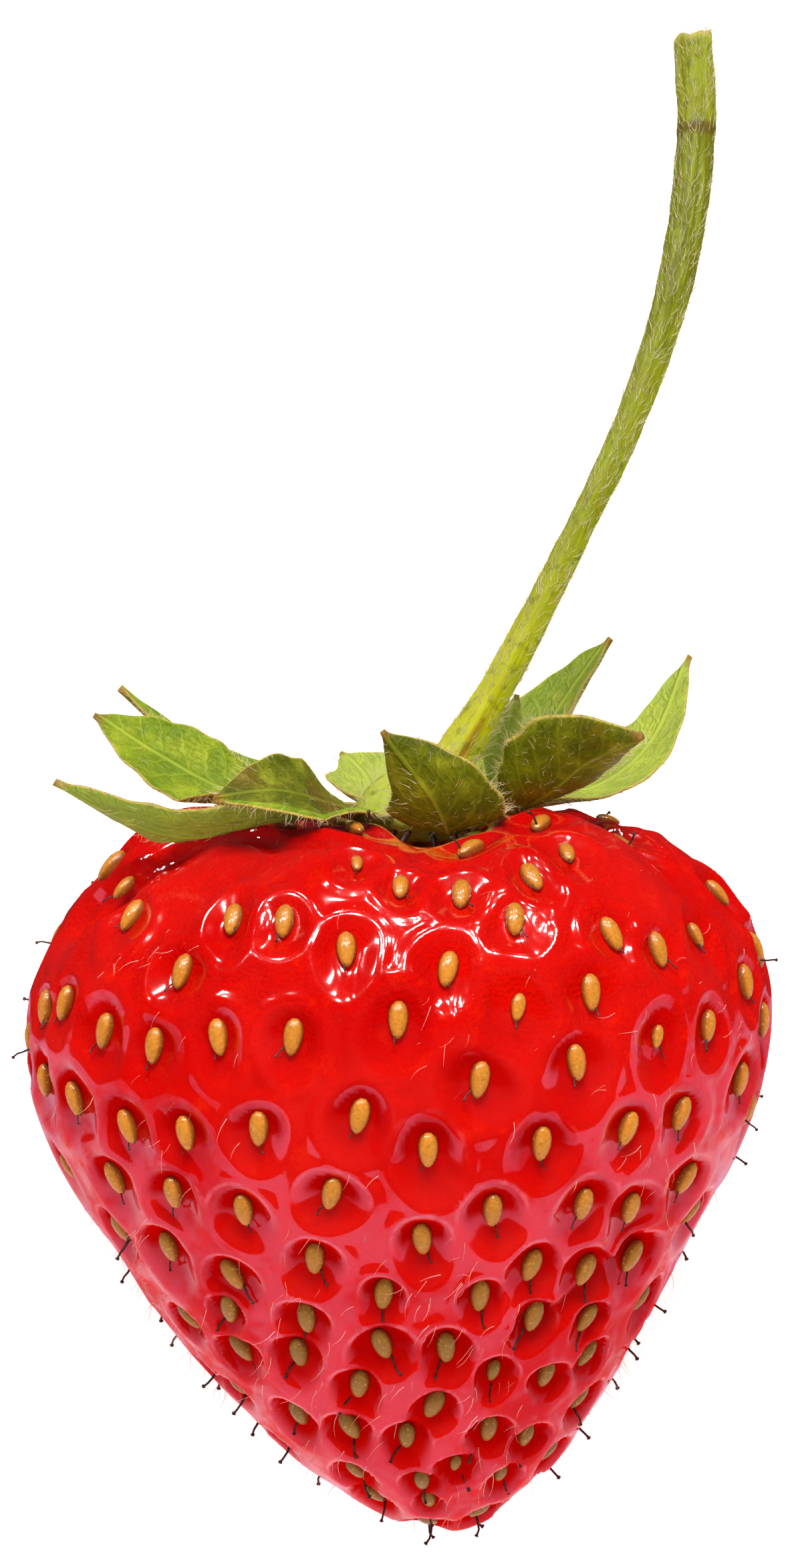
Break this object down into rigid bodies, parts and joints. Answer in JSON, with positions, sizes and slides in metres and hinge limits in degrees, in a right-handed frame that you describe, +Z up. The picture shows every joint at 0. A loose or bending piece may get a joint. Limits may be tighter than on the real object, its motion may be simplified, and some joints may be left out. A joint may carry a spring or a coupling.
{
  "type": "strawberry",
  "caption": "Ripe garden strawberry with its green calyx and curved cut stem, lying on its flank.",
  "frame": {"origin": "middle of the small flat on the berry's flank that it rests on", "axes": "+Z up from the surface it lies on; +Y from the tip of the berry to the cut end of the stem, level; +X to the right for someone who looks down on it with the stem pointing away from them. The berry's own axis rises 25.5 degrees from the tip to the stem."},
  "size_m": [0.035, 0.0671, 0.0319],
  "materials": {
    "flesh": "glossy wet-looking skin",
    "stalk": "satin, downy",
    "leaf": "satin, downy"
  },
  "bodies": {
    "root": {"berry": "flesh", "stem": "stalk", "sepal_1": "leaf", "sepal_2": "leaf", "sepal_3": "leaf", "sepal_4": "leaf", "sepal_5": "leaf", "sepal_6": "leaf", "bractlet_1": "leaf", "bractlet_2": "leaf", "bractlet_3": "leaf", "bractlet_4": "leaf"}
  },
  "joints": []
}
